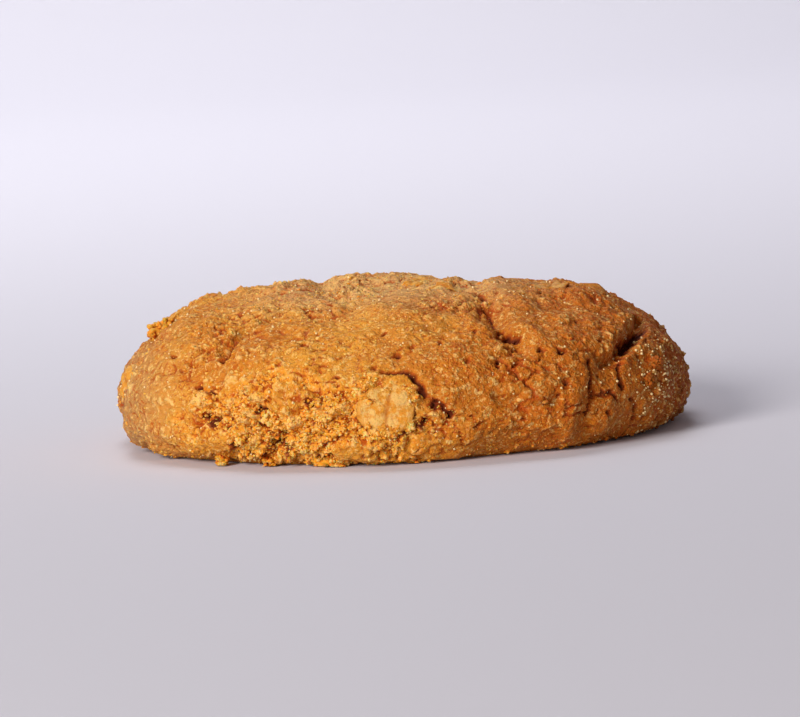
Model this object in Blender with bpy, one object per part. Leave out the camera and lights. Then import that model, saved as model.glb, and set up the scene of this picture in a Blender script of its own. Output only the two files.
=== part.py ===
# Oatmeal cookie, one baked piece. Metres, +Z up: the flat base lies on Z = 0, centred on the Z axis.
# A place on the crust is given by its azimuth in degrees (0 is +X, -90 is the front) and by how far it
# lies from the top centre, measured along the crust.
import math
import random

import bmesh
import bpy
import numpy as np
from mathutils import Matrix, Vector, noise

MM = 0.001

# Driving dimensions of the smooth dough
RADIUS = 34.0 * MM
HEIGHT = 17.5 * MM
WAIST_HEIGHT = 4.4 * MM
BASE_RADIUS = 28.5 * MM
CROWN_FULLNESS = 2.6
AXIS_SHIFT = (0.10 * MM, -0.40 * MM, 0.0)
PROFILE_STEPS = 400
SLOPE_STEP = 0.2 * MM
NEARLY_LEVEL = 0.99

# Lumps of the dough: size across and height of each kind
ROUND_SWELL = (26 * MM, 1.0 * MM)
BROAD_LUMPS = (10 * MM, 1.2 * MM)
DOUGH_LUMPS = (5.5 * MM, 0.75 * MM)
COARSE_CRUMB = (2.2 * MM, 0.35 * MM)
LUMP_MEAN = 0.22
RIM_FADE = 4 * MM
UNDERSIDE_KEEP = 0.6
BASE_SNAP = 0.04 * MM
BASE_CLEARANCE = 0.12 * MM
CRACK_WANDER = (2.4 * MM, 0.7 * MM)
CRACK_WALL = 0.8

# Mounds and hollows of the crown: azimuth, distance along the crust, spread, height
MOUNDS = (
    (155, 18, 9, 0.8),
    (110, 5, 6, 0.8),
    (-105, 9, 7, 0.3),
    (172, 28, 6, 0.5),
    (42, 14, 8, -1.5),
    (140, 16, 5, 0.4),
    (25, 25, 6, 0.4),
    (-5, 34, 8, -0.9),
    (-8, 24, 6, 0.5),
    (-78, 10, 6, -0.5),
    (68, 22, 8, -0.7),
    (-178, 36, 6, -0.8),
    (-75, 24, 8, 0.4),
    (-30, 22, 6, 0.4),
)

# Cracks: half width, depth, and the places that each runs through
CRACKS = {
    "left front": (1.1, 1.5, ((-135, 29.3), (-137, 26.4), (-136, 24.1), (-135, 22.0), (-134, 18.4))),
    "left front flap": (1.4, 0.8, ((-134, 18.4), (-118, 16.4), (-111, 13.1), (-100, 11.0))),
    "right front": (1.2, 2.3, ((-8, 29.6), (-25, 31.2), (-34, 32.8), (-39, 33.6), (-45, 35.1))),
    "right front valley": (2.2, 0.8, ((-45, 35.1), (-49, 37.1), (-51, 39.4), (-53, 43.0))),
    "crown right": (2.6, 1.1, ((62, 24.0), (45, 14.0), (5, 10.0), (-33, 9.6), (-57, 17.4))),
    "crown right end": (2.2, 0.9, ((-57, 17.4), (-64, 25.0), (-63, 31.0))),
    "crown left": (2.0, 0.9, ((114, 22.0), (130, 14.0), (176, 8.8), (-150, 9.5), (-111, 13.1))),
    "back": (1.3, 1.9, ((62, 30.5), (75, 33.0), (88, 32.0), (97, 34.5), (108, 34.0))),
    "back crown": (1.8, 1.1, ((84, 13.0), (92, 20.0), (104, 25.0), (100, 30.0), (97, 34.5))),
    "back left": (1.2, 1.6, ((150, 27.0), (158, 31.0), (155, 34.5), (163, 38.0))),
    "back right": (1.1, 1.4, ((18, 33.0), (28, 35.5), (27, 39.0), (34, 42.0))),
    "front right low": (1.0, 1.0, ((-72, 37.0), (-66, 39.0), (-60, 38.5))),
    "left side": (1.2, 1.2, ((-176, 33.0), (-168, 36.0), (-172, 40.0))),
}

# Edge of the base that is broken at the front: middle, half width and half height, and what it lost
BROKEN_AZIMUTH = -112
BROKEN_ALONG = 41 * MM
BROKEN_HALF_WIDTH = 15 * MM
BROKEN_HALF_HEIGHT = 7.5 * MM
BROKEN_LOSS = 0.5 * MM
BROKEN_CRUMB = (2.0 * MM, 1.3 * MM)
BROKEN_RAGGED = 0.35
BROKEN_BORDER_SIZE = 3 * MM
BROKEN_BORDER = 0.25

# Rolled oat flakes that show at the front: azimuth, distance along the crust, length, width, turn
FLAKE_THICKNESS = 0.8 * MM
FLAKE_SINK = 0.22 * MM
FLAKE_SIDES = 10
FLAKE_BULGE = (0.88, 1.06)
FLAKE_WAVE = 0.1
FLAKE_DOME = 0.65
FLAKES = (
    (-93, 37.6, 6.8, 5.6, 90),
    (-113, 36.3, 5.2, 4.4, 20),
    (-100, 43.0, 4.6, 3.6, 0),
    (-112, 12.1, 5.2, 4.0, 30),
    (-20, 2.4, 4.0, 3.0, 60),
    (-48, 8.3, 4.6, 2.8, -50),
    (-13, 18.4, 5.2, 4.2, 10),
    (4, 22.8, 5.4, 4.0, 80),
    (-28, 38.5, 4.8, 4.0, 45),
    (-150, 36.0, 4.8, 3.8, 70),
)
SPREAD_FLAKES = 34
FLAKE_SLIMNESS = (0.62, 0.85)
FLAKE_LENGTHS = (4.0 * MM, 6.2 * MM)
FLAKE_SPACING = 7.5 * MM
FLAKE_LOWEST = 43 * MM

# Crumbs baked on to the crust: azimuth, distance along the crust, radius
CRUMB_SUBDIVISIONS = 2
CRUMB_UNEVEN = 0.35
CRUMB_CORNERS = 1.4
CRUMB_SQUASH = 0.85
CRUMB_SINK = -0.15
CRUMBS = (
    (180, 28.8, 1.5),
    (-177, 27.0, 1.1),
    (-107, 45.4, 1.7),
    (-104, 45.0, 1.2),
    (-120, 45.6, 1.0),
    (-88, 45.8, 0.9),
    (-117, 38.6, 1.0),
    (-106, 39.0, 0.9),
    (-124, 41.2, 1.1),
    (-110, 42.6, 1.0),
    (-97, 46.0, 0.9),
    (-131, 44.5, 0.9),
    (-34, 38.0, 0.8),
    (-31, 36.4, 0.8),
)

BODY_TRIANGLES = 6000
SPHERE_SUBDIVISIONS = 6
RANDOM_SEED = 14
CRUST_COLOUR = (0.52, 0.23, 0.065, 1.0)
CRUST_ROUGHNESS = 0.82
SHARP_ANGLE = math.radians(50)


def clear_scene():
    for scene_object in list(bpy.data.objects):
        bpy.data.objects.remove(scene_object, do_unlink=True)


def profile():
    """Radius and height from the top centre, over the rim, to the base centre."""
    crown = np.radians(np.linspace(90, 0, PROFILE_STEPS))
    under = np.radians(np.linspace(0, -90, PROFILE_STEPS))[1:]
    power = 2 / CROWN_FULLNESS
    crown_radius = RADIUS * np.clip(np.cos(crown), 0, 1) ** power
    crown_height = WAIST_HEIGHT + (HEIGHT - WAIST_HEIGHT) * np.sin(crown) ** power
    under_radius = BASE_RADIUS + (RADIUS - BASE_RADIUS) * np.cos(under)
    under_height = WAIST_HEIGHT * (1 + np.sin(under))
    base_radius = np.linspace(BASE_RADIUS, 0, PROFILE_STEPS)[1:]
    radius = np.concatenate((crown_radius, under_radius, base_radius))
    height = np.concatenate((crown_height, under_height, np.zeros_like(base_radius)))
    return radius, height


PROFILE_RADIUS, PROFILE_Z = profile()
PROFILE_STEP = np.hypot(np.diff(PROFILE_RADIUS), np.diff(PROFILE_Z))
PROFILE_ALONG = np.concatenate(([0], np.cumsum(PROFILE_STEP)))
RING_AREA = PROFILE_STEP * (PROFILE_RADIUS[1:] + PROFILE_RADIUS[:-1]) * math.pi
PROFILE_AREA = np.concatenate(([0], np.cumsum(RING_AREA)))
BASE_EDGE = PROFILE_ALONG[-PROFILE_STEPS]


def profile_at(along):
    radius = np.interp(along, PROFILE_ALONG, PROFILE_RADIUS)
    height = np.interp(along, PROFILE_ALONG, PROFILE_Z)
    return radius, height


def smooth_crust(azimuth, along):
    """Points and outward normals of the smooth dough, for arrays of places in radians and metres."""
    radius, height = profile_at(along)
    ahead = profile_at(np.clip(along + SLOPE_STEP, 0, PROFILE_ALONG[-1]))
    behind = profile_at(np.clip(along - SLOPE_STEP, 0, PROFILE_ALONG[-1]))
    run_out = ahead[0] - behind[0]
    run_up = ahead[1] - behind[1]
    run = np.hypot(run_out, run_up)
    points = np.stack((radius * np.cos(azimuth), radius * np.sin(azimuth), height), axis=-1)
    normals = np.stack((-run_up * np.cos(azimuth), -run_up * np.sin(azimuth), run_out), axis=-1)
    return points, normals / run[:, None]


def place(azimuth_degrees, along_mm):
    azimuth = np.array([math.radians(azimuth_degrees)])
    return smooth_crust(azimuth, np.array([along_mm * MM]))


def noise_field(points, size, seed=0):
    shift = Vector((seed * 7.3, seed * 3.1, seed * 5.7))
    return np.array([noise.noise(Vector(point) / size + shift) for point in points])


def smooth_step(value):
    value = np.clip(value, 0, 1)
    return value * value * (3 - 2 * value)


def distance_to_line(points, line):
    nearest = np.full(len(points), np.inf)
    for start, end in zip(line[:-1], line[1:]):
        run = end - start
        share = np.clip((points - start) @ run / (run @ run), 0, 1)
        nearest = np.minimum(nearest, np.linalg.norm(points - start - share[:, None] * run, axis=1))
    return nearest


def crack_depth(points):
    """How far the cracks cut into the crust, each a wandering V that closes at its ends."""
    size, reach = CRACK_WANDER
    wander = np.stack([noise_field(points, size, seed) for seed in (11, 12, 13)], axis=-1) * reach
    depth = np.zeros(len(points))
    for half_width, deepest, places in CRACKS.values():
        line = np.concatenate([place(azimuth, along)[0] for azimuth, along in places])
        away = distance_to_line(points + wander, line) / (half_width * MM)
        depth = np.maximum(depth, deepest * MM * np.clip(1 - away, 0, 1) ** CRACK_WALL)
    return depth


def broken_share(points, azimuth, along):
    """1 inside the broken edge, 0 outside, with a ragged border."""
    turn = (azimuth - math.radians(BROKEN_AZIMUTH) + math.pi) % (2 * math.pi) - math.pi
    across = turn * RADIUS / BROKEN_HALF_WIDTH
    down = (along - BROKEN_ALONG) / BROKEN_HALF_HEIGHT
    ragged = BROKEN_RAGGED * noise_field(points, BROKEN_BORDER_SIZE, 21)
    return smooth_step((1 - np.hypot(across, down) + ragged) / BROKEN_BORDER + 0.5)


def relief(azimuth, along):
    """Height of the real crust over the smooth dough."""
    points, _ = smooth_crust(azimuth, along)
    swell = noise_field(points, ROUND_SWELL[0], 1) * ROUND_SWELL[1]
    broad = noise_field(points, BROAD_LUMPS[0], 2) * BROAD_LUMPS[1]
    lumps = (np.abs(noise_field(points, DOUGH_LUMPS[0], 3)) - LUMP_MEAN) * DOUGH_LUMPS[1]
    crumb = noise_field(points, COARSE_CRUMB[0], 4) * COARSE_CRUMB[1]
    height = swell + broad + lumps + crumb
    for mound_azimuth, mound_along, spread, rise in MOUNDS:
        centre = place(mound_azimuth, mound_along)[0]
        away = np.linalg.norm(points - centre, axis=1) / (spread * MM)
        height += rise * MM * np.exp(-away ** 2)
    height -= crack_depth(points)
    broken = broken_share(points, azimuth, along)
    rough = noise_field(points, BROKEN_CRUMB[0], 5) * BROKEN_CRUMB[1]
    height += broken * (rough - BROKEN_LOSS)
    return height * smooth_step((BASE_EDGE - along) / RIM_FADE)


def crust(azimuth, along):
    """Points and smooth normals of the real crust."""
    points, normals = smooth_crust(azimuth, along)
    lowest = points[:, 2] * UNDERSIDE_KEEP
    points = points + normals * relief(azimuth, along)[:, None]
    points[:, 2] = np.maximum(points[:, 2], lowest)
    return points, normals


def dough_material():
    material = bpy.data.materials.new("baked_dough")
    material.use_nodes = True
    shader = material.node_tree.nodes["Principled BSDF"]
    shader.inputs["Base Color"].default_value = CRUST_COLOUR
    shader.inputs["Roughness"].default_value = CRUST_ROUGHNESS
    shader.inputs["Metallic"].default_value = 0.0
    return material


def new_object(name, mesh, collection):
    mesh_object = bpy.data.objects.new(name, mesh)
    collection.objects.link(mesh_object)
    return mesh_object


def evaluated_mesh(mesh_object):
    graph = bpy.context.evaluated_depsgraph_get()
    return bpy.data.meshes.new_from_object(mesh_object.evaluated_get(graph))


def dough_body():
    """A sphere whose points are spread over the crust and the base, by equal areas, then thinned out."""
    mesh = bpy.data.meshes.new("cookie")
    shape = bmesh.new()
    bmesh.ops.create_icosphere(shape, subdivisions=SPHERE_SUBDIVISIONS, radius=1)
    shape.to_mesh(mesh)
    shape.free()
    ball = np.array([vertex.co for vertex in mesh.vertices])
    azimuth = np.arctan2(ball[:, 1], ball[:, 0])
    area = np.clip((1 - ball[:, 2]) / 2, 0, 1) * PROFILE_AREA[-1]
    along = np.interp(area, PROFILE_AREA, PROFILE_ALONG)
    points, _ = crust(azimuth, along)
    mesh.vertices.foreach_set("co", points.ravel())
    mesh.update()
    body = new_object("cookie", mesh, bpy.context.scene.collection)
    thin_out = body.modifiers.new("thin out", 'DECIMATE')
    thin_out.ratio = BODY_TRIANGLES / len(mesh.polygons)
    body.data = evaluated_mesh(body)
    body.modifiers.clear()
    lay_base_flat(body.data)
    return body


def lay_base_flat(mesh):
    """Thinning moves points by a hair, so those of the base go back to Z = 0."""
    for vertex in mesh.vertices:
        if vertex.co.z < BASE_SNAP:
            vertex.co.z = 0


def crust_frame(azimuth_degrees, along_mm, turn_degrees, sink):
    """Axes of a small thing on the crust: its own Z is the crust's normal."""
    azimuth = np.array([math.radians(azimuth_degrees)])
    points, normals = crust(azimuth, np.array([along_mm * MM]))
    normal = Vector(normals[0])
    down = Vector((0, 0, -1)) if abs(normal.z) < NEARLY_LEVEL else Vector((0, -1, 0))
    sideways = normal.cross(down).normalized()
    axes = Matrix((sideways, normal.cross(sideways), normal)).transposed().to_4x4()
    origin = Vector(points[0]) - normal * sink
    return Matrix.Translation(origin) @ axes @ Matrix.Rotation(math.radians(turn_degrees), 4, 'Z')


def lift_clear_of_base(shape):
    lowest = min(vertex.co.z for vertex in shape.verts)
    if lowest < BASE_CLEARANCE:
        bmesh.ops.translate(shape, verts=shape.verts[:], vec=(0, 0, BASE_CLEARANCE - lowest))


def oat_flake(name, azimuth, along, length, width, turn, draw, collection):
    """A rolled oat: a wavy oval disc, domed, that lies half sunk in the crust."""
    shape = bmesh.new()
    rims = []
    for level in (0.5, -0.5):
        rim = []
        for step in range(FLAKE_SIDES):
            angle = 2 * math.pi * step / FLAKE_SIDES
            bulge = draw.uniform(*FLAKE_BULGE)
            wave = FLAKE_WAVE * math.sin(2 * angle + turn)
            rim.append(shape.verts.new((
                0.5 * length * bulge * math.cos(angle),
                0.5 * width * bulge * math.sin(angle),
                (level + wave) * FLAKE_THICKNESS,
            )))
        rims.append(rim)
    top = shape.verts.new((0, 0, FLAKE_DOME * FLAKE_THICKNESS))
    bottom = shape.verts.new((0, 0, -FLAKE_DOME * FLAKE_THICKNESS))
    for step in range(FLAKE_SIDES):
        following = (step + 1) % FLAKE_SIDES
        shape.faces.new((rims[0][step], rims[0][following], top))
        shape.faces.new((rims[1][following], rims[1][step], bottom))
        shape.faces.new((rims[1][step], rims[1][following], rims[0][following]))
        shape.faces.new((rims[1][step], rims[0][following], rims[0][step]))
    shape.transform(crust_frame(azimuth, along, turn, FLAKE_SINK))
    lift_clear_of_base(shape)
    mesh = bpy.data.meshes.new(name)
    shape.to_mesh(mesh)
    shape.free()
    return new_object(name, mesh, collection)


def crumb(name, azimuth, along, radius, draw, collection):
    """A crumb of dough: a squashed ball with uneven corners, half sunk in the crust."""
    shape = bmesh.new()
    bmesh.ops.create_icosphere(shape, subdivisions=CRUMB_SUBDIVISIONS, radius=1)
    own_shape = Vector((azimuth, along, 0))
    for vertex in shape.verts:
        vertex.co *= radius * MM * (1 + CRUMB_UNEVEN * noise.noise(vertex.co * CRUMB_CORNERS + own_shape))
        vertex.co.z *= CRUMB_SQUASH
    shape.transform(crust_frame(azimuth, along, draw.uniform(0, 360), CRUMB_SINK * radius * MM))
    lift_clear_of_base(shape)
    mesh = bpy.data.meshes.new(name)
    shape.to_mesh(mesh)
    shape.free()
    return new_object(name, mesh, collection)


def spread_flakes(draw):
    """Places of the flakes that the shown ones don't fill, over the whole crust and well apart."""
    taken = [Vector(place(flake[0], flake[1])[0][0]) for flake in FLAKES]
    crust_area = np.interp(FLAKE_LOWEST, PROFILE_ALONG, PROFILE_AREA)
    chosen = []
    while len(chosen) < SPREAD_FLAKES:
        azimuth = draw.uniform(-180, 180)
        along = float(np.interp(draw.uniform(0, crust_area), PROFILE_AREA, PROFILE_ALONG)) / MM
        length = draw.uniform(*FLAKE_LENGTHS) / MM
        width = length * draw.uniform(*FLAKE_SLIMNESS)
        turn = draw.uniform(0, 180)
        spot = Vector(place(azimuth, along)[0][0])
        if all((spot - other).length > FLAKE_SPACING for other in taken):
            taken.append(spot)
            chosen.append((azimuth, along, length, width, turn))
    return chosen


def fuse(body, collection):
    """One union of the dough with all that is baked on to it, kept as one closed shell."""
    join = body.modifiers.new("fuse", 'BOOLEAN')
    join.operation = 'UNION'
    join.solver = 'EXACT'
    join.operand_type = 'COLLECTION'
    join.collection = collection
    fused = evaluated_mesh(body)
    body.modifiers.clear()
    body.data = fused
    for small_object in list(collection.objects):
        bpy.data.objects.remove(small_object, do_unlink=True)
    bpy.data.collections.remove(collection)
    keep_largest_shell(fused)


def keep_largest_shell(mesh):
    """Fills a hollow that fusing sealed and drops a loose scrap: both are shells of their own."""
    shape = bmesh.new()
    shape.from_mesh(mesh)
    unseen = set(shape.verts)
    shells = []
    while unseen:
        start = unseen.pop()
        shell = [start]
        front = [start]
        while front:
            vertex = front.pop()
            for edge in vertex.link_edges:
                other = edge.other_vert(vertex)
                if other in unseen:
                    unseen.remove(other)
                    shell.append(other)
                    front.append(other)
        shells.append(shell)
    shells.sort(key=len)
    for shell in shells[:-1]:
        bmesh.ops.delete(shape, geom=shell, context='VERTS')
    bmesh.ops.triangulate(shape, faces=shape.faces[:])
    shape.to_mesh(mesh)
    shape.free()


def finish(body):
    mesh = body.data
    mesh.transform(Matrix.Translation(AXIS_SHIFT))
    mesh.name = body.name
    mesh.materials.clear()
    mesh.materials.append(dough_material())
    mesh.shade_smooth()
    mesh.set_sharp_from_angle(angle=SHARP_ANGLE)


clear_scene()
cookie = dough_body()
toppings = bpy.data.collections.new("toppings")
bpy.context.scene.collection.children.link(toppings)
seeded = random.Random(RANDOM_SEED)
for number, (azimuth, along, length, width, turn) in enumerate(FLAKES + tuple(spread_flakes(seeded))):
    oat_flake(f"flake_{number}", azimuth, along, length * MM, width * MM, turn, seeded, toppings)
for number, (azimuth, along, radius) in enumerate(CRUMBS):
    crumb(f"crumb_{number}", azimuth, along, radius, seeded, toppings)
fuse(cookie, toppings)
finish(cookie)
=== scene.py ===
import math
import random

import bmesh
import bpy
import numpy as np
from mathutils import Matrix, Vector, bvhtree, kdtree, noise


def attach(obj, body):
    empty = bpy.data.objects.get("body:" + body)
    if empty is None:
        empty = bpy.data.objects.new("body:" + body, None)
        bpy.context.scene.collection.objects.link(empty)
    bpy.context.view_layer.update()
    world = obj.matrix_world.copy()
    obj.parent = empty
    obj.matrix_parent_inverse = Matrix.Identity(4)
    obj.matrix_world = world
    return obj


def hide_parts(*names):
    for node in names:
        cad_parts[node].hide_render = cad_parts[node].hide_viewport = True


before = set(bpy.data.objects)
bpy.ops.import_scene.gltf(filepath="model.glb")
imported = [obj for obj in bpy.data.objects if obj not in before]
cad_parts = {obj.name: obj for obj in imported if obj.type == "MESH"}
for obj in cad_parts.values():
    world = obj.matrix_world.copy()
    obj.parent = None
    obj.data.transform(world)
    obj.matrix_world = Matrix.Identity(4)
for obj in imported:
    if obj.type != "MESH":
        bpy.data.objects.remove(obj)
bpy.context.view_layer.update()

# The dough
# Soft oatmeal dough, dropped in a mound on a tray, that spread, swelled and cracked in the oven.
# It is one piece with a flat base. Its form is that of the frame's solid, worked out by the same rules,
# and the grain, pits and fine cracks of the baked crumb come on top.

MM = 0.001
# The smooth mound: its widest place, its top, how high the widest place is, its base, how full the crown is
RADIUS = 34.0 * MM
HEIGHT = 17.5 * MM
WAIST_HEIGHT = 4.4 * MM
BASE_RADIUS = 28.5 * MM
CROWN_FULLNESS = 2.6
AXIS_SHIFT = (0.10 * MM, -0.40 * MM, 0.0)
PROFILE_STEPS = 400
SLOPE_STEP = 0.2 * MM

# Swells, lumps and crumb of the dough: size across, height, and the seed that each noise here has for itself
ROUND_SWELL = (26 * MM, 1.0 * MM, 1)
BROAD_LUMPS = (10 * MM, 1.2 * MM, 2)
DOUGH_LUMPS = (5.5 * MM, 0.75 * MM, 3)
COARSE_CRUMB = (2.2 * MM, 0.35 * MM, 4)
LUMP_MEAN = 0.22
RIM_FADE = 4 * MM
UNDERSIDE_KEEP = 0.6
CRACK_WANDER = (2.4 * MM, 0.7 * MM, 11)
CRACK_WALL = 0.8
# A normal this upright leaves no downhill side, and the front takes its place
NEARLY_LEVEL = 0.99
# How far a noise is moved off, times its seed
SEED_SHIFT = (7.3, 3.1, 5.7)

# Mounds and hollows of the crown: azimuth, distance along the crust, spread, height
MOUNDS = (
    (155, 18, 9, 0.8), (110, 5, 6, 0.8), (-105, 9, 7, 0.3), (172, 28, 6, 0.5), (42, 14, 8, -1.5),
    (140, 16, 5, 0.4), (25, 25, 6, 0.4), (-5, 34, 8, -0.9), (-8, 24, 6, 0.5), (-78, 10, 6, -0.5),
    (68, 22, 8, -0.7), (-178, 36, 6, -0.8), (-75, 24, 8, 0.4), (-30, 22, 6, 0.4),
)

# Cracks: half width, depth, and the places that each runs through
CRACKS = {
    "left front": (1.1, 1.5, ((-135, 29.3), (-137, 26.4), (-136, 24.1), (-135, 22.0), (-134, 18.4))),
    "left front flap": (1.4, 0.8, ((-134, 18.4), (-118, 16.4), (-111, 13.1), (-100, 11.0))),
    "right front": (1.2, 2.3, ((-8, 29.6), (-25, 31.2), (-34, 32.8), (-39, 33.6), (-45, 35.1))),
    "right front valley": (2.2, 0.8, ((-45, 35.1), (-49, 37.1), (-51, 39.4), (-53, 43.0))),
    "crown right": (2.6, 1.1, ((62, 24.0), (45, 14.0), (5, 10.0), (-33, 9.6), (-57, 17.4))),
    "crown right end": (2.2, 0.9, ((-57, 17.4), (-64, 25.0), (-63, 31.0))),
    "crown left": (2.0, 0.9, ((114, 22.0), (130, 14.0), (176, 8.8), (-150, 9.5), (-111, 13.1))),
    "back": (1.3, 1.9, ((62, 30.5), (75, 33.0), (88, 32.0), (97, 34.5), (108, 34.0))),
    "back crown": (1.8, 1.1, ((84, 13.0), (92, 20.0), (104, 25.0), (100, 30.0), (97, 34.5))),
    "back left": (1.2, 1.6, ((150, 27.0), (158, 31.0), (155, 34.5), (163, 38.0))),
    "back right": (1.1, 1.4, ((18, 33.0), (28, 35.5), (27, 39.0), (34, 42.0))),
    "front right low": (1.0, 1.0, ((-72, 37.0), (-66, 39.0), (-60, 38.5))),
    "left side": (1.2, 1.2, ((-176, 33.0), (-168, 36.0), (-172, 40.0))),
}

# Dark cores of the cracks and the hair cracks, which only show close to: half width, depth, places
FINE_CRACKS = {
    "left front": (0.75, 1.7, ((-132, 30.8), (-134, 28.8), (-135, 25.6))),
    "left front top": (0.65, 1.3, ((-133, 23.4), (-132, 21.4), (-129, 19.6), (-131, 17.6))),
    "left front flap": (0.28, 0.5, ((-118, 16.4), (-111, 13.1), (-104, 12.0))),
    "right front": (0.80, 2.0, ((-18, 30.6), (-27, 31.9), (-35, 33.1))),
    "right front tail": (0.42, 1.2, ((-35, 33.1), (-39, 34.0), (-42, 35.8), (-43, 38.0))),
    "right front valley": (0.45, 1.1, ((-50, 34.6), (-51, 36.6), (-51, 38.6), (-52, 40.6))),
    "right front low": (0.42, 1.0, ((-49, 38.2), (-45, 38.5), (-44, 39.4))),
    "right front lowest": (0.40, 0.9, ((-40, 39.6), (-38, 41.0), (-38, 42.2))),
    "right hair": (0.25, 0.5, ((-44, 31.0), (-48, 31.3), (-51, 30.8))),
    "crown right": (0.42, 0.9, ((-20, 9.6), (-33, 9.8), (-48, 13.6), (-57, 17.6), (-61, 21.4), (-64, 25.0))),
    "crown right pits": (0.65, 1.4, ((-64, 26.8), (-65, 28.6), (-62, 29.4))),
    "above the big flake": (0.50, 1.2, ((-94, 33.4), (-89, 33.5), (-87, 34.7), (-86, 36.2))),
    "below the big flake": (0.45, 1.0, ((-92, 41.2), (-89, 40.4), (-86, 39.6))),
    "right of the big flake": (0.50, 1.1, ((-84, 37.2), (-82, 38.0), (-81, 39.0))),
    "right of it, low": (0.40, 0.9, ((-82, 40.2), (-79, 39.4))),
    "front low": (0.28, 0.5, ((-73, 33.0), (-69, 35.0), (-70, 37.0))),
    "back": (0.50, 1.4, ((64, 31.0), (75, 33.0), (88, 32.0), (97, 34.5), (106, 34.0))),
    "back left": (0.40, 1.0, ((152, 28.0), (158, 31.0), (155, 34.5), (162, 37.0))),
    "back right": (0.40, 0.9, ((20, 33.4), (28, 35.5), (27, 39.0), (33, 41.0))),
    "back crown": (0.30, 0.6, ((90, 18.0), (104, 25.0), (100, 30.0))),
    "left side": (0.35, 0.8, ((-175, 33.5), (-168, 36.0), (-171, 39.0))),
}

# Ragged course of the fine cracks: size of its bends, how far they reach, and seed
FINE_WANDER = (0.9 * MM, 0.55 * MM, 15)

# The broken edge: its middle, its reach, how much is lost, its crumb, and its ragged border
BROKEN_AZIMUTH = -112
BROKEN_ALONG = 41 * MM
BROKEN_HALF_WIDTH = 15 * MM
BROKEN_HALF_HEIGHT = 7.5 * MM
BROKEN_LOSS = 0.5 * MM
BROKEN_CRUMB = (2.0 * MM, 1.3 * MM, 5)
BROKEN_RAGGED = (3 * MM, 0.35, 21)
BROKEN_BORDER = 0.25
OPEN_BORDER = 0.70

# Oat flakes under the dough's skin, which lies open over some. Those at the front: azimuth, distance along
# the crust, length, width, turn, and paleness where it shows, or none where the skin covers it
FRONT_FLAKES = (
    (-93, 37.6, 7.2, 6.6, 80, 0.75),
    (-113, 36.3, 5.2, 4.4, 20, None),
    (-100, 43.0, 4.6, 3.6, 0, None),
    (-112, 12.1, 5.2, 4.0, 30, 0.80),
    (-20, 2.4, 4.0, 3.0, 60, 0.30),
    (-48, 8.3, 4.6, 2.8, -50, 0.80),
    (-13, 18.4, 5.2, 4.2, 10, 1.00),
    (4, 22.8, 5.4, 4.0, 80, 0.0),
    (-28, 38.5, 4.8, 4.0, 45, None),
    (-150, 36.0, 4.8, 3.8, 70, None),
)
# The other flakes, and the share of them that shows: at the back, and at the front
OTHER_FLAKES = 34
SHOWN_SHARE = (0.45, 0.12)
FLAKE_SLIMNESS = (0.62, 0.85)
FLAKE_LENGTHS = (4.0 * MM, 6.2 * MM)
FLAKE_SPACING = 7.5 * MM
FLAKE_LOWEST = 43 * MM
FLAKE_SEED = 14
# Ragged border of a flake: size, and share of its reach. How deep a flake counts, and where the skin over
# it starts to rise, opens, and is pressed flat: share of the flake's reach, and width of the change
FLAKE_RAGGED = (1.4 * MM, 0.35, 81)
FLAKE_DEPTH = 4 * MM
SKIN_RISES = (1.1, 0.3)
SKIN_OPENS = (0.85, 0.2)
SKIN_PRESSED = (1.15, 0.35)
PRESSED_SHARE = 0.85
SKIN_OVER_FLAKE = 0.24 * MM
SKIN_LIP = 0.16 * MM
SKIN_OPENING = 0.30 * MM

# Grains of the baked crumb: size across, height on the skin, height where the crumb lies open, and seed
CRUMB_GRAINS = (
    (1.7 * MM, 0.36 * MM, 1.60 * MM, 31),
    (0.8 * MM, 0.30 * MM, 1.20 * MM, 32),
)
# The smaller lumps of each grain: how many times smaller, their share of the height, and their seed's step
SMALL_BILLOWS = (2.1, 0.5, 40)
BILLOW_MEAN = 0.27
# Smoother stretches of skin: size across, gain and seed of their noise, and the share of relief they keep
SMOOTH_SKIN = (6 * MM, 1.6, 52)
SMOOTH_KEEPS = 0.35
FINE_RELIEF = (0.55 * MM, 0.18 * MM, 37)
# Crinkles of the skin: size across, depth, width in the noise that draws them, and seed. They crowd in
# patches: size across, gain, seed, and what is added to the noise
CRINKLES = (1.7 * MM, 0.80 * MM, 0.11, 38)
CRINKLED = (3 * CRINKLES[0], 2, 39)
CRINKLED_EVERYWHERE = 0.1
# Patches where the skin is worn open: size across, the noise where they start and are full, and seed
OPEN_PATCHES = (7 * MM, 0.04, 0.32, 51)
OPEN_PATCH_SHARE = 0.3
# Above this share the crumb counts as skin no more, and above this as open
SKIN_ENDS = 0.5
OPEN_BEGINS = 0.8
# Pits in the skin and in the open crumb: how many, and their radii
SKIN_PITS = (620, 0.18 * MM, 0.56 * MM)
OPEN_PITS = (150, 0.24 * MM, 0.85 * MM)
PIT_DEPTH = 1.9
PIT_WARP = (0.7 * MM, 0.55 * MM, 41)
# Hollows and pits of the baked base: size across, how rare, height that they rise into the dough, and seed
BASE_HOLLOWS = (3.2 * MM, 0.10, 0.9 * MM, 61)
BASE_PITS = (0.9 * MM, 0.16, 0.8 * MM, 62)
BASE_FADE = 1.5 * MM
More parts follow.
